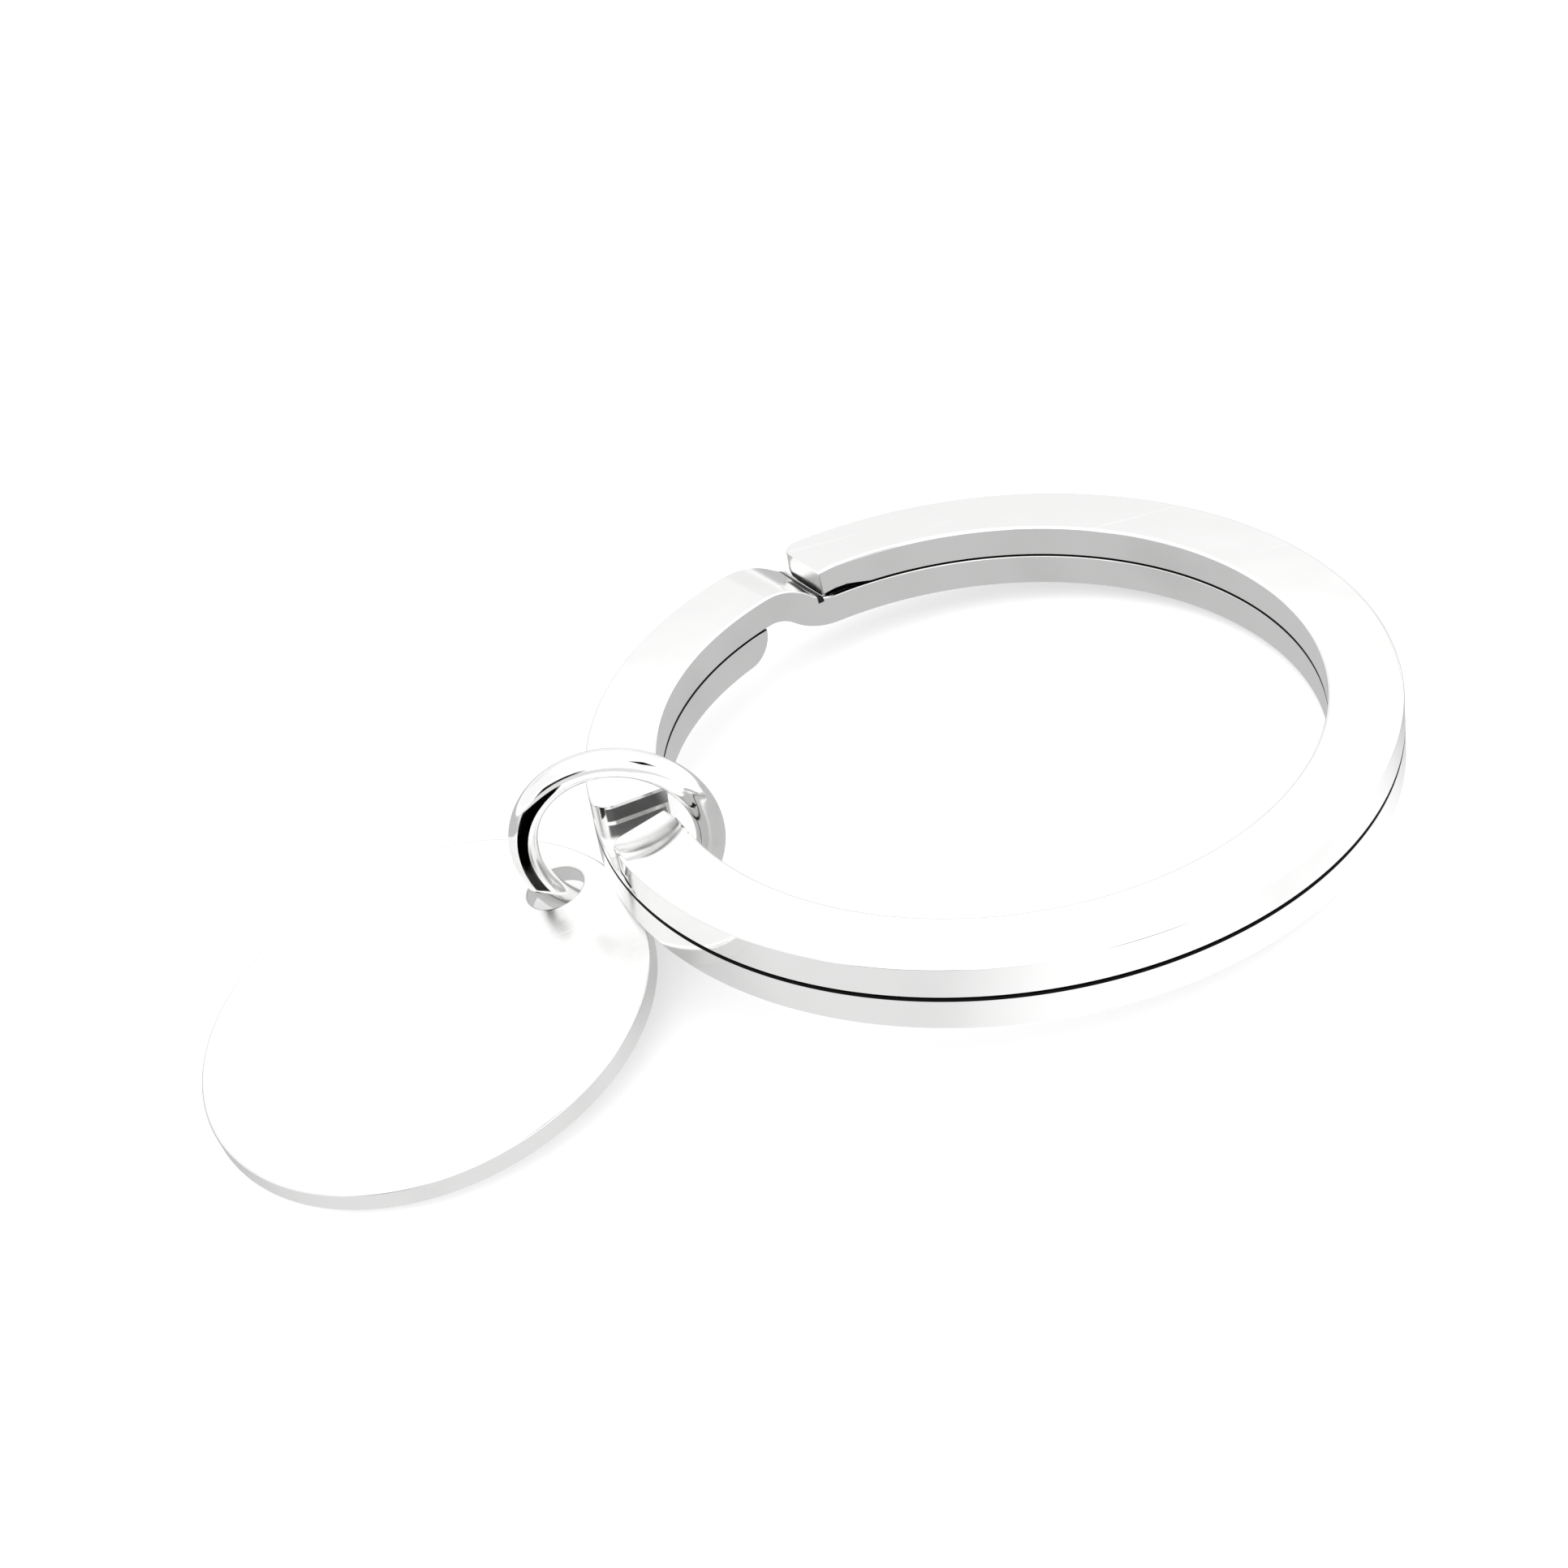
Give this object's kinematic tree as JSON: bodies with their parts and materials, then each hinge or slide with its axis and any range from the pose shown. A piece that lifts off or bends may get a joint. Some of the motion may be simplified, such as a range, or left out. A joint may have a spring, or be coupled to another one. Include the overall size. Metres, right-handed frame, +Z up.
{
  "type": "split key ring",
  "caption": "Flat-strip split key ring with a round link and a plain disc tag, in polished silver, lying on a surface.",
  "frame": {"origin": "centre of the split ring's opening, where its two turns meet", "axes": "+Z up from the surface it lies on, -X from the split ring towards the tag; the split ring's own axis leans from +Z towards +X because its tag side rests over the tag"},
  "size_m": [0.0542, 0.035, 0.0092],
  "materials": {
    "ring_silver": "mirror-polished silver",
    "link_silver": "polished silver wire",
    "tag_silver": "polished silver disc"
  },
  "bodies": {
    "split_ring": {"lower_turn": "ring_silver"},
    "upper_turn": {"upper_turn": "ring_silver"},
    "jump_ring": {"jump_ring": "link_silver"},
    "tag": {"tag": "tag_silver"}
  },
  "joints": [
    {"name": "upper_turn_lift", "type": "hinge", "parent": "split_ring", "child": "upper_turn", "pos_m": [-0.01713, -0.00325, 0.00152], "axis": [0.1849, -0.9826, -0.0165], "range_deg": [0, 7], "stiffness_Nm_per_rad": 0.5, "springref_deg": -2.86},
    {"name": "link_travel", "type": "hinge", "parent": "split_ring", "child": "jump_ring", "pos_m": [0, 0, 0], "axis": [0.0886, 0, 0.9961], "range_deg": [-60, 50]},
    {"name": "tag_swing", "type": "hinge", "parent": "jump_ring", "child": "tag", "pos_m": [-0.01668, 0, 0.00153], "axis": [0.2419, 0.9703, 0], "range_deg": [-8, 90]}
  ]
}
